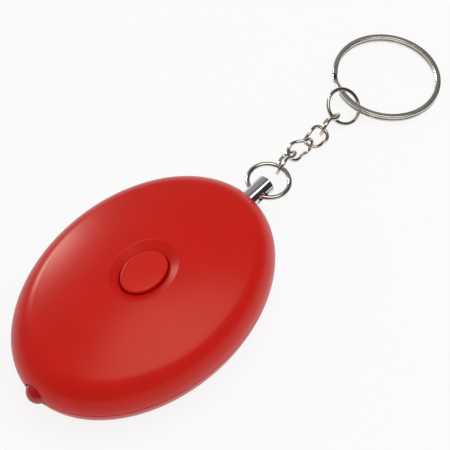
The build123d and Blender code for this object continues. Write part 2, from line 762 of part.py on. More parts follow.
# Pull pin: a bevelled head with a level cross hole, and a shaft that reaches between the contact leaves
pin_head_end = half_length + pin_head_out
pin_eye_x = half_length + pin_eye_out
with BuildPart() as pull_pin:
    with BuildSketch(across(pin_head_foot)):
        Circle(pin_head_diameter / 2)
    extrude(amount=pin_head_end - pin_head_foot)
    chamfer(pull_pin.edges().filter_by(GeomType.CIRCLE), pin_head_bevel)
    with BuildSketch(across(pin_head_foot)):
        Circle(pin_shaft_diameter / 2)
    extrude(amount=-pin_shaft_length)
    tip_edges = pull_pin.edges().filter_by(GeomType.CIRCLE).sort_by(Axis.X)
    fillet(tip_edges[0], pin_tip_radius)
    with BuildSketch(Plane((pin_eye_x, 0, seam_level), x_dir=(1, 0, 0), z_dir=(0, 1, 0))):
        Circle(pin_eye_diameter / 2)
    extrude(amount=pin_head_diameter, both=True, mode=Mode.SUBTRACT)
pull_pin.part.label = "pull_pin"
export_step(pull_pin.part, "parts/pull_pin.step")


def run_plane(start, heading, slope, roll):
    """Returns the plane of a ring or link: origin at its first wire, x along its run, z across its loop."""
    run = Vector(1, 0, 0).rotate(Axis.Y, -slope).rotate(Axis.Z, heading)
    above = Vector(0, 0, 1).rotate(Axis.Y, -slope).rotate(Axis.Z, heading)
    return Plane(start, x_dir=run, z_dir=above.rotate(Axis((0, 0, 0), run), roll))


def turned_plane(plane, angle):
    """Returns a plane turned in itself, about its own normal."""
    turned_run = plane.x_dir.rotate(Axis((0, 0, 0), plane.z_dir), angle)
    return Plane(plane.origin, x_dir=turned_run, z_dir=plane.z_dir)


def next_start(plane, run_length, hook, heading, slope):
    """Returns where the next loop's first wire lies, hooked back by an amount inside this one's far end."""
    far_end = plane.from_local_coords((run_length, 0, 0))
    mean_run = (plane.x_dir + run_plane((0, 0, 0), heading, slope, 0).x_dir).normalized()
    return far_end - mean_run * hook


def open_ring(plane, diameter, wire, joint_place):
    """Makes a wire ring with a butt joint; the plane's origin lies in its wire, its run ends opposite."""
    major = (diameter - wire) / 2
    centre = plane.from_local_coords((major, 0, 0))
    level = Plane(centre, x_dir=plane.x_dir, z_dir=plane.z_dir)
    spin = turned_plane(level, joint_place + ring_joint_angle / 2)
    section_at = spin.from_local_coords((major, 0, 0))
    with BuildPart() as ring:
        with BuildSketch(Plane(section_at, x_dir=spin.x_dir, z_dir=spin.y_dir)):
            Circle(wire / 2)
        revolve(axis=Axis(centre, spin.z_dir), revolution_arc=360 - ring_joint_angle)
    return ring.part


def half_link_wire(plane, run_length, swing, twist, near_end):
    """Returns the path of one end of a twisted link, from the middle of one side to that of the other."""
    across_run = swing * cos(radians(twist))
    rise = swing * sin(radians(twist))
    middle = run_length / 2
    if near_end:
        turn, apex, towards = swing, 0, plane.x_dir
    else:
        turn, apex, towards = run_length - swing, run_length, plane.x_dir * -1
        rise = -rise
    place = plane.from_local_coords
    with BuildLine() as path:
        TangentArc(place((turn, across_run, -rise)), place((middle, across_run, 0)), tangent=towards)
        ThreePointArc(
            place((turn, across_run, -rise)),
            place((apex, 0, 0)),
            place((turn, -across_run, rise)),
        )
        TangentArc(place((turn, -across_run, rise)), place((middle, -across_run, 0)), tangent=towards)
    return path.wires()[0]


# Pin ring: its wire lies in the pin's cross hole
pin_ring_plane = run_plane((pin_eye_x, 0, seam_level), pin_ring_heading_angle, pin_ring_slope_angle, 0)
with BuildPart() as pin_ring:
    add(open_ring(pin_ring_plane, pin_ring_diameter, pin_ring_wire, pin_ring_joint_place_angle))
pin_ring.part.label = "pin_ring"
export_step(pin_ring.part, "parts/pin_ring.step")

# Chain: four twisted oval links, each hooked in the one before
link_planes = []
previous_plane, previous_run, hook = pin_ring_plane, pin_ring_run, (pin_ring_wire + link_wire) / 2 + link_gap
for link_index in range(link_count):
    heading = link_heading_angles[link_index % len(link_heading_angles)]
    roll = link_roll_angles[link_index % len(link_roll_angles)]
    start = next_start(previous_plane, previous_run, hook, heading, link_slope_angle)
    link_plane = run_plane(start, heading, link_slope_angle, roll)
    with BuildPart() as chain_link:
        for near_end in (True, False):
            wire_path = half_link_wire(link_plane, link_run, link_swing, link_half_twist_angle, near_end)
            with BuildSketch(Plane(origin=wire_path @ 0, z_dir=wire_path % 0)):
                Circle(link_wire / 2)
            sweep(path=wire_path)
    link_name = f"chain_link_{link_index + 1}"
    chain_link.part.label = link_name
    export_step(chain_link.part, f"parts/{link_name}.step")
    link_planes.append(link_plane)
    previous_plane, previous_run, hook = link_plane, link_run, link_wire + link_gap

# Small ring at the end of the chain, rolled so that the split ring passes through it
small_ring_hook = (link_wire + small_ring_wire) / 2 + link_gap
small_ring_start = next_start(link_planes[-1], link_run, small_ring_hook, small_ring_heading_angle, 0)
small_ring_plane = run_plane(small_ring_start, small_ring_heading_angle, 0, small_ring_roll_angle)
with BuildPart() as small_ring:
    add(open_ring(small_ring_plane, small_ring_diameter, small_ring_wire, small_ring_joint_place_angle))
small_ring.part.label = "small_ring"
export_step(small_ring.part, "parts/small_ring.step")

# Split ring: two turns of flat wire, one above the other, joined by a short step
split_ring_major = (split_ring_diameter - split_ring_band) / 2
split_ring_run = split_ring_major * 2
split_ring_half_height = split_ring_turn_height + split_ring_slit / 2
small_ring_far = small_ring_plane.from_local_coords((small_ring_run, 0, 0))
split_ring_drop = small_ring_far.Z - split_ring_half_height - floor_gap
split_ring_slope_angle = -degrees(asin(split_ring_drop / split_ring_run))
split_ring_hook = (small_ring_wire + split_ring_band) / 2 + split_ring_gap
split_ring_start = next_start(
    small_ring_plane,
    small_ring_run,
    split_ring_hook,
    split_ring_heading_angle,
    split_ring_slope_angle,
)
split_ring_plane = run_plane(split_ring_start, split_ring_heading_angle, split_ring_slope_angle, 0)
split_ring_centre = split_ring_plane.from_local_coords((split_ring_major, 0, 0))
split_ring_level = Plane(split_ring_centre, x_dir=split_ring_plane.x_dir, z_dir=split_ring_plane.z_dir)
turn_offset = (split_ring_turn_height + split_ring_slit) / 2
step_from = split_step_place_angle - split_step_angle / 2
step_to = split_step_place_angle + split_step_angle / 2


def band_plane(angle, lift):
    """Returns the plane across the split ring's band at an angle round it and a height above its middle."""
    turned = turned_plane(split_ring_level, angle)
    return Plane(
        turned.from_local_coords((split_ring_major, 0, lift)),
        x_dir=turned.x_dir,
        z_dir=turned.y_dir,
    )


with BuildPart() as split_ring:
    for lift in (-turn_offset, turn_offset):
        with BuildSketch(band_plane(step_to, lift)):
            RectangleRounded(split_ring_band, split_ring_turn_height, split_ring_edge_radius)
        revolve(axis=Axis(split_ring_centre, split_ring_level.z_dir), revolution_arc=360 - split_step_angle)
    for section_index in range(split_step_sections):
        way = section_index / (split_step_sections - 1)
        lift = turn_offset * (2 * way * way * (3 - 2 * way) - 1)
        with BuildSketch(band_plane(step_from + split_step_angle * way, lift)):
            RectangleRounded(split_ring_band, split_ring_turn_height, split_ring_edge_radius)
    loft()
split_ring.part.label = "split_ring"
export_step(split_ring.part, "parts/split_ring.step")
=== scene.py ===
"""Looks of a pocket alarm: a red oval housing, its lamp, button, pull pin, chain and split ring.

Everything is in metres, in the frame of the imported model. The scene keeps the model's pieces, gives each one
a procedural finish, and adds the fine detail that the solids leave out.
"""

import logging
from dataclasses import dataclass, field
from enum import Enum
from math import cos, pi, radians, sin

import bmesh
import bpy
from mathutils import Matrix, Vector


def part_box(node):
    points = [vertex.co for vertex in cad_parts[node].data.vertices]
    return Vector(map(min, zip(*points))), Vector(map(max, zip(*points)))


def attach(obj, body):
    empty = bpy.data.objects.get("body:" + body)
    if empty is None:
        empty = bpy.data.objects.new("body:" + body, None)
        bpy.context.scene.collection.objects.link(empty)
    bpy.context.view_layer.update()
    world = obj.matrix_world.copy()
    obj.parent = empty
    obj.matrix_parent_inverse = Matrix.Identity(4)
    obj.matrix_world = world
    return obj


LOG = logging.getLogger("alarm_scene")
MM = 0.001
UP = Vector((0, 0, 1))
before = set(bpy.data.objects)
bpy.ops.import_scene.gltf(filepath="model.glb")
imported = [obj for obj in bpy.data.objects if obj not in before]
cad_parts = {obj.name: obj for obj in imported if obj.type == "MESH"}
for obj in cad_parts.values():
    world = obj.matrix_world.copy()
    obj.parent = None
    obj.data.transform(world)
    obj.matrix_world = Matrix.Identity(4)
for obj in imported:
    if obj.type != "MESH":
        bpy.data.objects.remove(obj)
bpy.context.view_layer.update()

Colour = tuple[float, float, float, float]
Span = tuple[float, float]

PURE_WHITE: Colour = (1.0, 1.0, 1.0, 1.0)
WARM_SHEEN: Colour = (1.0, 0.86, 0.66, 1.0)

COAT_ROUGHNESS = 0.12
PLASTIC_IOR = 1.5
CLOUD_SPAN: Span = (0.35, 0.7)
GRAIN_SPAN: Span = (0.3, 0.7)
BUMP_STRENGTH = 0.6
PLAIN_STRETCH = (1.0, 1.0, 1.0)
BRUSHED_STRETCH = (1.0, 14.0, 14.0)
NOISE_DETAIL = 6.0
NOISE_ROUGHNESS = 0.6
CLOUD_DETAIL = 3.0
CLOUD_FINENESS = 0.06

SMOOTH_ANGLE = radians(40)
MERGE_DISTANCE = 0.0001 * MM
LEAST_MITRE = 0.3
EDGE_SEGMENTS = 2
ROUND_PROFILE = 0.5


class Grain(Enum):
    """How the fine surface of a finish runs."""

    CLOUDED = "clouded"
    BRUSHED = "brushed"
    SPECKLED = "speckled"


class Body(Enum):
    """The bodies of the model that carry added pieces."""

    HOUSING = "housing"


def srgb(red: int, green: int, blue: int) -> Colour:
    """Turns a screen colour into a linear one.

    Args:
        red: Red, 0 to 255.
        green: Green, 0 to 255.
        blue: Blue, 0 to 255.

    Returns:
        The linear colour with full alpha.
    """

    def linear(value: int) -> float:
        """Returns one channel's linear value."""
        share = value / 255
        return share / 12.92 if share <= 0.04045 else ((share + 0.055) / 1.055) ** 2.4

    return linear(red), linear(green), linear(blue), 1.0


@dataclass(frozen=True)
class Finish:
    """A procedural finish: two close tones, a roughness range and a fine relief.

    Attributes:
        name: The material's name.
        tone: Main colour.
        second: Colour of the cloudy or worn places.
        metal: 1 for bare metal.
        rough: Lowest and highest roughness.
        grain: How the fine surface runs.
        size: Size of the grain, in metres.
        relief: Depth of the grain, in metres.
        mix: How much of the second colour shows.
        coat: Strength of a clear outer layer.
        clear: How much light passes through.
        specular: Strength of the plain reflection.
        sheen_tone: Colour of the plain reflection.
    """

    name: str
    tone: Colour
    second: Colour
    metal: float = 0.0
    rough: Span = (0.3, 0.4)
    grain: Grain = Grain.CLOUDED
    size: float = 0.4 * MM
    relief: float = 0.004 * MM
    mix: float = 0.3
    coat: float = 0.0
    clear: float = 0.0
    specular: float = 0.5
    sheen_tone: Colour = PURE_WHITE

    def material(self) -> bpy.types.Material:
        """Builds the material, once.

        Returns:
            The finished material.
        """
        known = bpy.data.materials.get(self.name)
        if known:
            return known
        made = bpy.data.materials.new(self.name)
        made.use_nodes = True
        tree = made.node_tree
        shader = tree.nodes["Principled BSDF"]
        shader.inputs["Metallic"].default_value = self.metal
        shader.inputs["Coat Weight"].default_value = self.coat
        shader.inputs["Coat Roughness"].default_value = COAT_ROUGHNESS
        shader.inputs["Transmission Weight"].default_value = self.clear
        shader.inputs["Specular IOR Level"].default_value = self.specular
        shader.inputs["Specular Tint"].default_value = self.sheen_tone
        shader.inputs["IOR"].default_value = PLASTIC_IOR
        fine_out, broad_out = self.grains(tree)
        blend = tree.nodes.new("ShaderNodeMix")
        blend.data_type = "RGBA"
        blend.inputs["A"].default_value = self.tone
        blend.inputs["B"].default_value = self.second
        tree.links.new(self.spread(tree, broad_out, CLOUD_SPAN, (0.0, self.mix)), blend.inputs["Factor"])
        tree.links.new(blend.outputs["Result"], shader.inputs["Base Color"])
        tree.links.new(self.spread(tree, fine_out, GRAIN_SPAN, self.rough), shader.inputs["Roughness"])
        bump = tree.nodes.new("ShaderNodeBump")
        bump.inputs["Distance"].default_value = self.relief
        bump.inputs["Strength"].default_value = BUMP_STRENGTH
        tree.links.new(fine_out, bump.inputs["Height"])
        tree.links.new(bump.outputs["Normal"], shader.inputs["Normal"])
        return made

    def grains(self, tree: bpy.types.NodeTree) -> tuple[bpy.types.NodeSocket, bpy.types.NodeSocket]:
        """Adds the fine grain and the broad clouding.

        Args:
            tree: The material's nodes.

        Returns:
            The outputs of the fine and the broad pattern.
        """
        place = tree.nodes.new("ShaderNodeTexCoord")
        stretch = tree.nodes.new("ShaderNodeMapping")
        brushed = self.grain is Grain.BRUSHED
        stretch.inputs["Scale"].default_value = BRUSHED_STRETCH if brushed else PLAIN_STRETCH
        tree.links.new(place.outputs["Object"], stretch.inputs["Vector"])
        if self.grain is Grain.SPECKLED:
            fine = tree.nodes.new("ShaderNodeTexVoronoi")
            fine_out = fine.outputs["Distance"]
        else:
            fine = tree.nodes.new("ShaderNodeTexNoise")
            fine.inputs["Detail"].default_value = NOISE_DETAIL
            fine.inputs["Roughness"].default_value = NOISE_ROUGHNESS
            fine_out = fine.outputs["Fac"]
        fine.inputs["Scale"].default_value = 1.0 / self.size
        tree.links.new(stretch.outputs["Vector"], fine.inputs["Vector"])
        broad = tree.nodes.new("ShaderNodeTexNoise")
        broad.inputs["Scale"].default_value = CLOUD_FINENESS / self.size
        broad.inputs["Detail"].default_value = CLOUD_DETAIL
        tree.links.new(stretch.outputs["Vector"], broad.inputs["Vector"])
        return fine_out, broad.outputs["Fac"]

    def spread(
        self,
        tree: bpy.types.NodeTree,
        source: bpy.types.NodeSocket,
        span: Span,
        result: Span,
    ) -> bpy.types.NodeSocket:
        """Maps a pattern's span to a range of values.

        Args:
            tree: The material's nodes.
            source: The pattern.
            span: Its lowest and highest value of use.
            result: What these two become.

        Returns:
            The mapped value.
        """
        node = tree.nodes.new("ShaderNodeMapRange")
        node.inputs["From Min"].default_value, node.inputs["From Max"].default_value = span
        node.inputs["To Min"].default_value, node.inputs["To Max"].default_value = result
        tree.links.new(source, node.inputs["Value"])
        return node.outputs["Result"]


RED = Finish("satin_red_plastic", srgb(212, 22, 15), srgb(205, 18, 12), rough=(0.28, 0.33), size=0.35 * MM,
             relief=0.006 * MM, mix=0.6, specular=0.3, sheen_tone=WARM_SHEEN)
BUTTON_RED = Finish("button_red_plastic", srgb(217, 30, 18), srgb(210, 24, 15), rough=(0.3, 0.35),
                    size=0.35 * MM, relief=0.002 * MM, mix=0.6, specular=0.34, sheen_tone=WARM_SHEEN)
LAMP_RED = Finish("tinted_lamp_red", srgb(226, 30, 38), srgb(206, 20, 28), rough=(0.05, 0.1), size=0.8 * MM,
                  relief=0.0005 * MM, mix=0.4, clear=0.4)
CHROME = Finish("bright_pin_chrome", srgb(224, 224, 228), srgb(204, 204, 210), metal=1.0, rough=(0.07, 0.14),
                grain=Grain.BRUSHED, size=0.5 * MM, relief=0.001 * MM)
NICKEL = Finish("chain_nickel", srgb(214, 207, 198), srgb(158, 149, 139), metal=1.0, rough=(0.13, 0.22),
                size=0.25 * MM, relief=0.001 * MM, mix=0.6)
RING_NICKEL = Finish("ring_nickel", srgb(222, 217, 210), srgb(174, 167, 158), metal=1.0, rough=(0.16, 0.26),
                     size=0.3 * MM, relief=0.0008 * MM, mix=0.6)
SCREW_ZINC = Finish("screw_zinc", srgb(188, 188, 184), srgb(150, 150, 146), metal=1.0, rough=(0.25, 0.4),
                    size=0.2 * MM, relief=0.004 * MM, mix=0.5)
SOLDER = Finish("solder_tin", srgb(200, 200, 200), srgb(160, 160, 162), metal=1.0, rough=(0.2, 0.34),
                size=0.15 * MM, relief=0.004 * MM, mix=0.6)
LEG_TIN = Finish("leg_tin", srgb(196, 196, 194), srgb(168, 168, 166), metal=1.0, rough=(0.22, 0.34),
                 grain=Grain.BRUSHED, size=0.2 * MM, relief=0.002 * MM, mix=0.5)
CELL_STEEL = Finish("cell_steel", srgb(214, 214, 212), srgb(190, 190, 188), metal=1.0, rough=(0.2, 0.3),
                    grain=Grain.BRUSHED, size=0.4 * MM, relief=0.002 * MM)
BRASS = Finish("spring_brass", srgb(206, 176, 104), srgb(176, 142, 76), metal=1.0, rough=(0.2, 0.36),
               size=0.5 * MM, relief=0.003 * MM, mix=0.6)
COPPER = Finish("winding_copper", srgb(196, 112, 66), srgb(158, 78, 40), metal=1.0, rough=(0.2, 0.32),
                size=0.3 * MM, relief=0.004 * MM, mix=0.5)
PIEZO = Finish("piezo_ceramic", srgb(196, 188, 168), srgb(176, 168, 148), rough=(0.5, 0.65),
               grain=Grain.SPECKLED, size=0.3 * MM, relief=0.003 * MM, mix=0.6)
SILVERING = Finish("fired_silver", srgb(226, 224, 218), srgb(196, 194, 186), metal=0.9, rough=(0.35, 0.5),
                   size=0.25 * MM, relief=0.003 * MM, mix=0.6)
BOARD_GREEN = Finish("board_green", srgb(28, 94, 52), srgb(18, 72, 40), rough=(0.25, 0.35),
                     grain=Grain.SPECKLED, size=0.5 * MM, relief=0.006 * MM, mix=0.8, coat=0.3)
TRACE_GREEN = Finish("masked_copper", srgb(46, 128, 66), srgb(34, 108, 54), rough=(0.22, 0.3), size=0.4 * MM,
                     relief=0.002 * MM, mix=0.6, coat=0.3)
BLACK = Finish("moulded_black", srgb(34, 34, 35), srgb(24, 24, 25), rough=(0.45, 0.6), size=0.2 * MM,
               relief=0.006 * MM, mix=0.6)
GASKET = Finish("gasket_nylon", srgb(40, 44, 60), srgb(28, 30, 44), rough=(0.4, 0.5), size=0.3 * MM,
                relief=0.002 * MM, mix=0.5)
WHITE = Finish("moulded_white", srgb(226, 222, 212), srgb(206, 200, 188), rough=(0.4, 0.5), size=0.3 * MM,
               relief=0.004 * MM, mix=0.6)
FERRITE = Finish("sintered_ferrite", srgb(52, 52, 55), srgb(38, 38, 40), rough=(0.55, 0.75),
                 grain=Grain.SPECKLED, size=0.15 * MM, relief=0.01 * MM, mix=0.7)
WIRE_RED = Finish("wire_red_cover", srgb(170, 30, 26), srgb(150, 22, 20), rough=(0.35, 0.45), size=0.3 * MM,
                  relief=0.003 * MM)


def dress(node: str, finish: Finish) -> None:
    """Gives a model node its finish.

    Args:
        node: The node's name.
        finish: The finish it gets.
    """
    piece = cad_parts[node]
    piece.data.materials.clear()
    piece.data.materials.append(finish.material())
    LOG.info("dressed %s in %s", node, finish.name)


class Shape:
    """A mesh under construction, to which each method adds one closed form."""

    def __init__(self) -> None:
        """Starts an empty mesh."""
        self.form = bmesh.new()

    def skin(self, rings: list[list[Vector]], looped: bool = False) -> "Shape":
        """Joins rings of points into a closed form.

        Args:
            rings: The rings, each with the same number of points.
            looped: Whether the last ring joins the first; if not, both are closed by a face.

        Returns:
            The shape.
        """
        made = [[self.form.verts.new(point) for point in ring] for ring in rings]
        pairs = list(zip(made, made[1:]))
        if looped:
            pairs.append((made[-1], made[0]))
        else:
            self.form.faces.new(made[0])
            self.form.faces.new(made[-1])
        for low, high in pairs:
            for index in range(len(low)):
                after = (index + 1) % len(low)
                self.form.faces.new((low[index], low[after], high[after], high[index]))
        return self

    def spun(
        self,
        outline: list[tuple[float, float]],
        centre: Vector,
        run: Vector,
        looped: bool = False,
        steps: int = 40,
    ) -> "Shape":
        """Turns an outline about an axis.

        Args:
            outline: Pairs of distance along the axis and radius, in metres.
            centre: Where the axis starts.
            run: The axis direction.
            looped: Whether the outline closes on itself, as a washer's does.
            steps: Faces round the axis.

        Returns:
            The shape.
        """
        turn = run.to_track_quat("Z", "X").to_matrix()
        angles = [2 * pi * index / steps for index in range(steps)]
        rings = [
            [centre + turn @ Vector((radius * cos(angle), radius * sin(angle), along)) for angle in angles]
            for along, radius in outline
        ]
        return self.skin(rings, looped)

    def tube(self, points: list[Vector], radius: float, steps: int = 10) -> "Shape":
        """Sweeps a round section along points.

        Args:
            points: The middle line.
            radius: The section's radius.
            steps: Faces round the section.

        Returns:
            The shape.
        """
        rings = []
        side = None
        for index, point in enumerate(points):
            run = (points[min(index + 1, len(points) - 1)] - points[max(index - 1, 0)]).normalized()
            side = run.orthogonal() if side is None else side - run * side.dot(run)
            side = side.normalized()
            other = run.cross(side)
            angles = [2 * pi * step / steps for step in range(steps)]
            rings.append([point + radius * (cos(angle) * side + sin(angle) * other) for angle in angles])
        return self.skin(rings)

    def strip(self, points: list[Vector], width: float, thick: float, across: Vector) -> "Shape":
        """Sweeps a flat section along points, with mitred bends.

        Args:
            points: The middle line, in a plane.
            width: The strip's width, along across.
            thick: The strip's thickness.
            across: The direction at right angles to that plane.

        Returns:
            The shape.
        """
        rings = []
        for index, point in enumerate(points):
            before = (point - points[index - 1]).normalized() if index else None
            after = (points[index + 1] - point).normalized() if index < len(points) - 1 else None
            run = ((before or after) + (after or before)).normalized()
            mitre = 1 / max(run.dot(after or before), LEAST_MITRE)
            up = run.cross(across).normalized() * thick / 2 * mitre
            out = across * width / 2
            rings.append([point + out + up, point - out + up, point - out - up, point + out - up])
        return self.skin(rings)

    def block(self, low: Vector, high: Vector, edge: float) -> "Shape":
        """Adds a block with rounded edges.

        Args:
            low: Its lowest corner.
            high: Its highest corner.
            edge: The radius of its edges.

        Returns:
            The shape.
        """
        size = high - low
        place = Matrix.Translation((low + high) / 2) @ Matrix.Diagonal((*size, 1.0))
        made = bmesh.ops.create_cube(self.form, size=1.0, matrix=place)
        bmesh.ops.bevel(
            self.form,
            geom=list({side for corner in made["verts"] for side in corner.link_edges}),
            offset=edge,
            segments=EDGE_SEGMENTS,
            profile=ROUND_PROFILE,
            affect="EDGES",
        )
        return self

    def piece(self, name: str, finish: Finish, slot: str, body: Body = Body.HOUSING) -> None:
        """Turns the shape into a visual piece.

        Args:
            name: The piece's name.
            finish: The finish it gets.
            slot: The record's material slot; not used.
            body: The body it rides on.
        """
        bmesh.ops.remove_doubles(self.form, verts=self.form.verts, dist=MERGE_DISTANCE)
        bmesh.ops.recalc_face_normals(self.form, faces=self.form.faces)
        mesh = bpy.data.meshes.new(name)
        self.form.to_mesh(mesh)
        self.form.free()
        for face in mesh.polygons:
            face.use_smooth = True
        mesh.set_sharp_from_angle(angle=SMOOTH_ANGLE)
        mesh.materials.append(finish.material())
        piece = bpy.data.objects.new(name, mesh)
        bpy.context.scene.collection.objects.link(piece)
        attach(piece, body.value)
        LOG.info("made %s in %s", name, finish.name)


@dataclass
class Housing:
    """The two covers, the button and the screws that hold the covers."""

    covers: tuple[str, ...] = ("top_cover", "bottom_cover")

    def build(self) -> None:
        """Dresses the covers, the button and the screws."""
        for cover in self.covers:
            dress(cover, RED)
        dress("light_button", BUTTON_RED)
        dress("case_screws", SCREW_ZINC)


@dataclass
class Lamp:
    """The tinted lamp and what is seen inside it."""

    lead_pitch: float = 2.54 * MM
    lead_width: float = 0.5 * MM
    cup_radius: float = 0.95 * MM
    cup_foot: float = 0.7 * MM
    cup_depth: float = 0.9 * MM
    cup_well: float = 0.35 * MM
    cup_rim_share: float = 0.88
    cup_back: float = 4.3 * MM
    straight: float = 2.4 * MM
    chip_side: float = 0.35 * MM
    chip_edge_parts: int = 6
    bond_radius: float = 0.04 * MM
    bond_faces: int = 6

    def build(self) -> None:
        """Dresses the lens and leads, and adds the cup, post and bond wire inside the lens."""
        low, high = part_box("lamp_lens")
        dress("lamp_lens", LAMP_RED)
        dress("lamp_leads", LEG_TIN)
        base = high.x
        level = (low.z + high.z) / 2
        cup_at = Vector((base - self.cup_back, 0, level))
        rim = self.cup_radius * self.cup_rim_share
        cup = Shape().spun(
            [(0, 0), (0, self.cup_foot), (self.cup_depth, self.cup_radius), (self.cup_depth, rim),
             (self.cup_depth - self.cup_well, self.cup_well), (self.cup_depth - self.cup_well, 0)],
            cup_at, Vector((-1, 0, 0)),
        )
        side = self.lead_pitch / 2
        anvil = [(base, side), (base - self.straight, side), (cup_at.x + self.cup_foot, self.cup_well),
                 (cup_at.x - self.cup_well / 2, self.cup_well)]
        cup.strip([Vector((x, y, level)) for x, y in anvil], self.lead_width, self.lead_width, UP)
        cup.piece("lamp_cup", LEG_TIN, "zinc_steel")
        post_end = Vector((cup_at.x - self.cup_depth, -self.cup_radius - self.lead_width / 2, level))
        post = [Vector((base, -side, level)), Vector((base - self.straight, -side, level)),
                Vector((cup_at.x, post_end.y, level)), post_end]
        Shape().strip(post, self.lead_width, self.lead_width, UP).piece("lamp_post", LEG_TIN, "zinc_steel")
        chip_at = cup_at + Vector((-(self.cup_depth - self.cup_well), 0, 0))
        half = self.chip_side / 2
        edge = half / self.chip_edge_parts
        chip = Shape().block(chip_at - Vector((half, half, half)), chip_at + Vector((0, half, half)), edge)
        chip.piece("lamp_chip", BRASS, "zinc_steel")
        bond = [chip_at - Vector((half, 0, 0)), chip_at - Vector((self.chip_side * 2, half, 0)),
                post_end - Vector((half, 0, 0)), post_end]
        Shape().tube(bond, self.bond_radius, self.bond_faces).piece("lamp_bond_wire", BRASS, "zinc_steel")


@dataclass
class Chain:
    """The pull pin, the rings and the links."""

    links: int = 4

    def build(self) -> None:
        """Dresses the pin, its ring, the links and the end rings."""
        dress("pull_pin", CHROME)
        dress("pin_ring", NICKEL)
        for index in range(self.links):
            dress(f"chain_link_{index + 1}", NICKEL)
        dress("small_ring", NICKEL)
        dress("split_ring", RING_NICKEL)


@dataclass
class Board:
    """The circuit board with its parts, legs, solder and copper."""

    copper_height: float = 0.035 * MM
    trace_width: float = 0.45 * MM
    pad_width: float = 0.5 * MM
    lead_hole_radius: float = 0.35 * MM
    lead_pitch: float = 2.54 * MM
    lead_reach: float = 1.6 * MM
    solder_height: float = 0.45 * MM
    solder_neck: float = 0.35
    solder_steps: int = 6
    solder_faces: int = 20
    lead_solder_share: float = 0.8
    leg_count: int = 4
    leg_pitch: float = 1.27 * MM
    leg_width: float = 0.4 * MM
    leg_thick: float = 0.18 * MM
    leg_reach: float = 1.0 * MM
    leg_knee_share: float = 0.35
    leg_bend_share: float = 0.55
    cap_length: float = 0.4 * MM
    cap_over: float = 0.03 * MM
    resistor_pitch: float = 2.2 * MM
    resistor_width: float = 1.25 * MM
    winding_wire: float = 0.26 * MM
    winding_faces: int = 8
    points_a_turn: int = 24
    switch_plate: float = 0.15 * MM
    switch_hole: float = 1.75 * MM
    switch_steps: int = 48
    switch_leg_spread: float = 2.25 * MM
    switch_leg_width: float = 0.64 * MM
    low: Vector = field(init=False)
    high: Vector = field(init=False)
    middle: Vector = field(init=False)
    trace_shares: tuple[tuple[tuple[float, float], ...], ...] = field(default_factory=lambda: (
        ((-0.42, -0.05), (-0.34, -0.05), (-0.28, -0.13)),
        ((-0.42, 0.05), (-0.3, 0.05), (-0.22, 0.08)),
        ((-0.18, -0.12), (-0.1, -0.03), (0.12, -0.03)),
        ((-0.08, -0.23), (0.02, -0.23), (0.14, -0.27)),
        ((-0.05, 0.21), (0.02, 0.21), (0.07, 0.27)),
        ((0.17, 0.27), (0.3, 0.27), (0.42, 0.12), (0.42, -0.2)),
        ((0.2, -0.36), (0.1, -0.42), (-0.3, -0.42)),
        ((0.2, 0.06), (0.34, 0.06), (0.34, -0.12)),
    ))

    def build(self) -> None:
        """Dresses the board's nodes and adds its fine parts."""
        for node, finish in {
            "circuit_board": BOARD_GREEN,
            "board_screws": SCREW_ZINC,
            "switch_body": BLACK,
            "switch_plunger": WHITE,
            "driver_chip": BLACK,
            "driver_transistor": BLACK,
            "boost_coil_core": FERRITE,
            "boost_coil_winding": COPPER,
            "board_resistors": BLACK,
        }.items():
            dress(node, finish)
        self.low, self.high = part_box("circuit_board")
        self.middle = (self.low + self.high) / 2
        self.copper()
        self.chip_legs()
        self.solder()
        self.resistor_caps()
        self.winding()
        self.switch()

    def copper(self) -> None:
        """Adds the masked traces on both faces and the bare pads round the lead holes."""
        size = self.high - self.low
        faces = (("board_traces_top", self.high.z, 1), ("board_traces_under", self.low.z, -1))
        for name, level, flip in faces:
            traces = Shape()
            middle = level + flip * self.copper_height / 2
            for shares in self.trace_shares:
                points = [
                    Vector((self.middle.x + x * size.x, self.middle.y + flip * y * size.y, middle))
                    for x, y in shares
                ]
                traces.strip(points, self.copper_height, self.trace_width, UP)
            traces.piece(name, TRACE_GREEN, "board_green")
        pads = Shape()
        hole = self.lead_hole_radius
        outer = hole + self.pad_width
        rise = self.copper_height
        for side in (-1, 1):
            for _, level, flip in faces:
                centre = Vector((self.low.x + self.lead_reach, side * self.lead_pitch / 2, level))
                washer = [(0, hole), (0, outer), (rise, outer), (rise, hole)]
                pads.spun(washer, centre, UP * flip, looped=True)
        pads.piece("lead_pads", SOLDER, "zinc_steel")

    def chip_legs(self) -> None:
        """Adds the chip's bent legs."""
        low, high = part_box("driver_chip")
        middle = (low + high) / 2
        foot = self.high.z + self.leg_thick / 2 + self.copper_height
        knee = low.z + (high.z - low.z) / 2
        reach = self.leg_reach
        line = [(0, knee), (reach * self.leg_knee_share, knee),
                (reach * self.leg_bend_share, foot), (reach, foot)]
        legs = Shape()
        for side, edge in ((1, high.y), (-1, low.y)):
            for index in range(self.leg_count):
                x = middle.x + (index - (self.leg_count - 1) / 2) * self.leg_pitch
                leg = [Vector((x, edge + side * out, z)) for out, z in line]
                legs.strip(leg, self.leg_width, self.leg_thick, Vector((1, 0, 0)))
        legs.piece("chip_legs", LEG_TIN, "zinc_steel")

    def fillet(self, shape: Shape, foot: Vector, up: Vector, radius: float) -> None:
        """Adds one solder fillet.

        Args:
            shape: The shape it is added to.
            foot: The middle of its foot.
            up: The direction in which it rises.
            radius: The radius of its foot.
        """
        outline = [(0, 0)]
        for index in range(self.solder_steps + 1):
            way = index / self.solder_steps
            narrowed = self.solder_neck + (1 - self.solder_neck) * (1 - way) ** 2
            outline.append((self.solder_height * way, radius * narrowed))
        outline.append((self.solder_height, 0))
        shape.spun(outline, foot, up, steps=self.solder_faces)

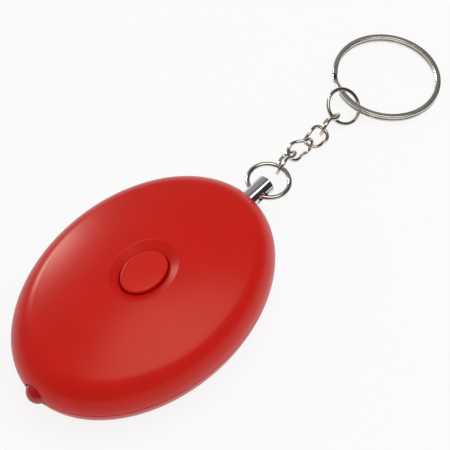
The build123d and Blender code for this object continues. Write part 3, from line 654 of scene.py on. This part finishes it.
    def solder(self) -> None:
        """Adds the solder at the lamp's leads, the transistor, the coil and the switch."""
        leads = Shape()
        top = self.high.z + self.copper_height
        for side in (-1, 1):
            foot = Vector((self.low.x + self.lead_reach, side * self.lead_pitch / 2, top))
            self.fillet(leads, foot, UP, self.lead_hole_radius + self.pad_width * self.lead_solder_share)
        leads.piece("lead_solder", SOLDER, "zinc_steel")
        low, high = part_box("driver_transistor")
        x, y = (low.x + high.x) / 2, (low.y + high.y) / 2
        feet = [(x + index * self.leg_pitch, y) for index in (-1, 0, 1)]
        low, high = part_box("boost_coil_core")
        x, y = (low.x + high.x) / 2, (low.y + high.y) / 2
        feet += [(x, y + side * self.lead_pitch) for side in (-1, 1)]
        _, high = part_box("switch_body")
        feet += [(x * high.x, y * self.switch_leg_spread) for x in (-1, 1) for y in (-1, 1)]
        under = Shape()
        for x, y in feet:
            self.fillet(under, Vector((x, y, self.low.z)), -UP, self.pad_width)
        under.piece("underside_solder", SOLDER, "zinc_steel")

    def resistor_caps(self) -> None:
        """Adds the tinned ends of the resistors."""
        low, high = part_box("board_resistors")
        middle = (low + high) / 2
        over = self.cap_over
        caps = Shape()
        for index in (-1, 0, 1):
            y = middle.y + index * self.resistor_pitch
            for start in (low.x - over, high.x + over - self.cap_length):
                near = Vector((start, y - self.resistor_width / 2 - over, low.z))
                far = Vector((start + self.cap_length, y + self.resistor_width / 2 + over, high.z + over))
                caps.block(near, far, over)
        caps.piece("resistor_caps", LEG_TIN, "zinc_steel")

    def winding(self) -> None:
        """Adds the coil's outer turns of wire."""
        low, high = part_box("boost_coil_winding")
        middle = (low + high) / 2
        wire = self.winding_wire
        turns = int((high.z - low.z) / wire) - 1
        radius = (high.x - low.x) / 2 - wire / 4
        first = middle.z - turns * wire / 2
        points = []
        for index in range(turns * self.points_a_turn + 1):
            way = index / self.points_a_turn
            angle = 2 * pi * way
            x, y = middle.x + radius * cos(angle), middle.y + radius * sin(angle)
            points.append(Vector((x, y, first + way * wire)))
        Shape().tube(points, wire / 2, self.winding_faces).piece("coil_turns", COPPER, "copper")

    def switch(self) -> None:
        """Adds the switch's metal frame and its four legs."""
        _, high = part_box("switch_body")
        half = high.x - self.switch_plate
        rings = []
        for level, inner in ((0, False), (self.switch_plate, False), (self.switch_plate, True), (0, True)):
            ring = []
            for index in range(self.switch_steps):
                angle = 2 * pi * (index + 0.5) / self.switch_steps
                reach = self.switch_hole if inner else half / max(abs(cos(angle)), abs(sin(angle)))
                ring.append(Vector((reach * cos(angle), reach * sin(angle), high.z + level)))
            rings.append(ring)
        Shape().skin(rings, looped=True).piece("switch_frame", LEG_TIN, "zinc_steel")
        legs = Shape()
        out = high.x + self.leg_thick / 2
        for x in (-1, 1):
            for y in (-1, 1):
                leg = [Vector((x * out, y * self.switch_leg_spread, z))
                       for z in (high.z - self.leg_reach, self.high.z)]
                legs.strip(leg, self.switch_leg_width, self.leg_thick, Vector((0, 1, 0)))
        legs.piece("switch_legs", LEG_TIN, "zinc_steel")


@dataclass
class Sounder:
    """The sounder's plate, ceramic, silvering, solder and wires."""

    silver_inset: float = 0.6 * MM
    silver_height: float = 0.02 * MM
    silver_faces: int = 64
    blob_radius: float = 0.75 * MM
    blob_height: float = 0.4 * MM
    blob_faces: int = 24
    dome_steps: int = 6

    def build(self) -> None:
        """Dresses the nodes and adds the silvered face and the solder dots."""
        dress("sounder_plate", BRASS)
        dress("sounder_ceramic", PIEZO)
        dress("sounder_leads", WIRE_RED)
        low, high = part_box("sounder_ceramic")
        middle = (low + high) / 2
        radius = (high.x - low.x) / 2 - self.silver_inset
        top = Vector((middle.x, middle.y, high.z))
        rise = self.silver_height
        face = [(0, 0), (0, radius), (rise, radius - rise), (rise, 0)]
        silver = Shape().spun(face, top, UP, steps=self.silver_faces)
        silver.piece("sounder_silvering", SILVERING, "piezo")
        lead_low, lead_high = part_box("sounder_leads")
        reach = (lead_high.x - lead_low.x) / 2 - (lead_high.y - lead_low.y) / 2
        angles = [radians(90 * step / self.dome_steps) for step in range(self.dome_steps + 1)]
        dome = [(self.blob_height * sin(angle), self.blob_radius * cos(angle)) for angle in angles]
        blobs = Shape()
        for side in (-1, 1):
            blobs.spun([(0, 0)] + dome, top + Vector((side * reach, 0, rise)), UP, steps=self.blob_faces)
        blobs.piece("sounder_solder", SOLDER, "zinc_steel")


@dataclass
class Cells:
    """The three cells, their holder and its two contact strips."""

    count: int = 3
    cap_height: float = 0.4 * MM
    cap_inset: float = 1.0 * MM
    gasket_gap: float = 0.05 * MM
    gasket_height: float = 0.15 * MM
    gasket_wall_share: float = 0.6
    gasket_faces: int = 64
    edge_inset: float = 0.45 * MM

    def build(self) -> None:
        """Dresses the nodes and adds each cell's gasket."""
        dress("cell_holder", BLACK)
        dress("cell_plus_strip", CELL_STEEL)
        dress("cell_minus_strip", CELL_STEEL)
        for index in range(self.count):
            name = f"button_cell_{index + 1}"
            dress(name, CELL_STEEL)
            low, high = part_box(name)
            middle = (low + high) / 2
            radius = (high.x - low.x) / 2
            inner = radius - self.cap_inset + self.gasket_gap
            outer = radius - self.edge_inset
            rise = self.gasket_height
            face = Vector((middle.x, low.y + self.cap_height, middle.z))
            wall = rise * self.gasket_wall_share
            ring = [(0, inner), (0, outer), (wall, outer), (rise, outer - rise), (rise, inner)]
            gasket = Shape().spun(ring, face, Vector((0, -1, 0)), looped=True, steps=self.gasket_faces)
            gasket.piece(f"cell_gasket_{index + 1}", GASKET, "black_plastic")


@dataclass
class Contacts:
    """The pin's socket and the contacts that the pin keeps apart."""

    finishes: dict[str, Finish] = field(default_factory=lambda: {
        "pin_socket": BLACK,
        "contact_block": BLACK,
        "contact_leaf_upper": BRASS,
        "contact_leaf_lower": BRASS,
    })

    def build(self) -> None:
        """Dresses the socket, the block and the leaves."""
        for node, finish in self.finishes.items():
            dress(node, finish)


@dataclass(frozen=True)
class Softbox:
    """A rectangular lamp that faces the object.

    Attributes:
        name: The lamp's name.
        place: Where it hangs, in metres.
        size: Its width and height, in metres.
        power: Its power, in watts.
        gloss_only: Whether it shows in reflections alone.
    """

    name: str
    place: tuple[float, float, float]
    size: Span
    power: float
    gloss_only: bool = False

    def hang(self) -> None:
        """Adds the lamp to the scene."""
        data = bpy.data.lights.new(self.name, "AREA")
        data.shape = "RECTANGLE"
        data.size, data.size_y = self.size
        data.energy = self.power
        lamp = bpy.data.objects.new(self.name, data)
        lamp.location = self.place
        lamp.rotation_euler = (-Vector(self.place)).to_track_quat("-Z", "Y").to_euler()
        lamp.visible_diffuse = not self.gloss_only
        bpy.context.scene.collection.objects.link(lamp)


@dataclass
class Studio:
    """Floor, soft lights and the camera at the photograph's angle."""

    target: Vector = field(default_factory=lambda: Vector((27.6 * MM, 3.5 * MM, 0)))
    distance: float = 321.8 * MM
    elevation: float = 58.4
    azimuth: float = -47.9
    roll: float = 1.0
    focal_px: float = 1483.0
    frame_px: float = 450.0
    sensor_width: float = 36.0
    clip_start: float = 0.01
    floor_half: float = 3.0
    floor_drop: float = 0.02 * MM
    floor_tone: Colour = (0.9, 0.9, 0.9, 1.0)
    floor_glow: float = 0.86
    room_level: float = 0.53
    dark_side: float = 0.04
    light_side: float = 0.34
    side_span: Span = (-0.2, 0.6)
    softboxes: tuple[Softbox, ...] = (
        Softbox("back_softbox", place=(0.07, 0.56, 0.27), size=(0.2, 0.1), power=1.6, gloss_only=True),
        Softbox("top_softbox", place=(0.1, -0.11, 0.6), size=(0.36, 0.46), power=1.35),
    )

    def floor(self) -> None:
        """Adds the pale floor, which keeps a soft shadow."""
        mesh = bpy.data.meshes.new("studio_floor")
        half = self.floor_half
        corners = [(-half, -half, 0), (half, -half, 0), (half, half, 0), (-half, half, 0)]
        mesh.from_pydata(corners, [], [(0, 1, 2, 3)])
        ground = bpy.data.objects.new("studio_floor", mesh)
        ground.location.z = -self.floor_drop
        bpy.context.scene.collection.objects.link(ground)
        paint = bpy.data.materials.new("floor_white")
        paint.use_nodes = True
        tree = paint.node_tree
        tree.nodes.remove(tree.nodes["Principled BSDF"])
        matt = tree.nodes.new("ShaderNodeBsdfDiffuse")
        matt.inputs["Color"].default_value = self.floor_tone
        glow = tree.nodes.new("ShaderNodeEmission")
        glow.inputs["Color"].default_value = PURE_WHITE
        share = tree.nodes.new("ShaderNodeMath")
        share.operation = "MULTIPLY"
        share.inputs[1].default_value = self.floor_glow
        tree.links.new(self.seen_directly(tree, camera=True), share.inputs[0])
        mix = tree.nodes.new("ShaderNodeMixShader")
        tree.links.new(share.outputs["Value"], mix.inputs["Fac"])
        tree.links.new(matt.outputs["BSDF"], mix.inputs[1])
        tree.links.new(glow.outputs["Emission"], mix.inputs[2])
        tree.links.new(mix.outputs["Shader"], tree.nodes["Material Output"].inputs["Surface"])
        mesh.materials.append(paint)

    def seen_directly(self, tree: bpy.types.NodeTree, camera: bool) -> bpy.types.NodeSocket:
        """Adds a test for rays that show the background in metal and glass, or to the camera.

        Args:
            tree: The nodes it is added to.
            camera: Whether the camera's own rays count too.

        Returns:
            An output that is 1 for such rays.
        """
        path = tree.nodes.new("ShaderNodeLightPath")
        found = path.outputs["Is Glossy Ray"]
        for output in ["Is Transmission Ray"] + ["Is Camera Ray"] * camera:
            either = tree.nodes.new("ShaderNodeMath")
            either.operation = "MAXIMUM"
            tree.links.new(found, either.inputs[0])
            tree.links.new(path.outputs[output], either.inputs[1])
            found = either.outputs["Value"]
        return found

    def sky(self) -> None:
        """Sets the room light: even for matt faces, darker on the camera's side for reflections."""
        world = bpy.data.worlds.new("studio_world")
        bpy.context.scene.world = world
        world.use_nodes = True
        world.cycles.sampling_method = "NONE"
        tree = world.node_tree
        back = tree.nodes["Background"]
        back.inputs["Color"].default_value = PURE_WHITE
        way = tree.nodes.new("ShaderNodeTexCoord")
        parts = tree.nodes.new("ShaderNodeSeparateXYZ")
        tree.links.new(way.outputs["Generated"], parts.inputs["Vector"])
        side = tree.nodes.new("ShaderNodeMapRange")
        side.inputs["From Min"].default_value, side.inputs["From Max"].default_value = self.side_span
        side.inputs["To Min"].default_value = self.dark_side
        side.inputs["To Max"].default_value = self.light_side
        tree.links.new(parts.outputs["Y"], side.inputs["Value"])
        mirrored = tree.nodes.new("ShaderNodeMix")
        mirrored.inputs["A"].default_value = self.room_level
        tree.links.new(self.seen_directly(tree, camera=False), mirrored.inputs["Factor"])
        tree.links.new(side.outputs["Result"], mirrored.inputs["B"])
        path = tree.nodes.new("ShaderNodeLightPath")
        level = tree.nodes.new("ShaderNodeMix")
        level.inputs["B"].default_value = 1.0
        tree.links.new(path.outputs["Is Camera Ray"], level.inputs["Factor"])
        tree.links.new(mirrored.outputs["Result"], level.inputs["A"])
        tree.links.new(level.outputs["Result"], back.inputs["Strength"])

    def camera(self) -> None:
        """Places the camera at the photograph's angle."""
        rise, turn, lean = radians(self.elevation), radians(self.azimuth), radians(self.roll)
        back = Vector((sin(turn) * cos(rise), -cos(turn) * cos(rise), sin(rise)))
        right = Vector((cos(turn), sin(turn), 0))
        up = back.cross(right)
        leaned_right = cos(lean) * right + sin(lean) * up
        leaned_up = -sin(lean) * right + cos(lean) * up
        data = bpy.data.cameras.new("photo_camera")
        data.sensor_width = self.sensor_width
        data.lens = self.sensor_width * self.focal_px / self.frame_px
        data.clip_start = self.clip_start
        eye = bpy.data.objects.new("photo_camera", data)
        turned = Matrix((leaned_right, leaned_up, back)).transposed().to_4x4()
        turned.translation = self.target + back * self.distance
        eye.matrix_world = turned
        bpy.context.scene.collection.objects.link(eye)
        bpy.context.scene.camera = eye

    def build(self) -> None:
        """Builds floor, lights and camera."""
        self.floor()
        self.sky()
        for softbox in self.softboxes:
            softbox.hang()
        self.camera()
        bpy.context.scene.view_settings.view_transform = "Standard"


def main() -> None:
    """Builds every part of the scene in order."""
    logging.basicConfig(level=logging.INFO, format="%(message)s")
    for part in (Studio(), Housing(), Lamp(), Chain(), Board(), Sounder(), Cells(), Contacts()):
        part.build()
        LOG.info("built %s", type(part).__name__)


if __name__ == "__main__":
    main()
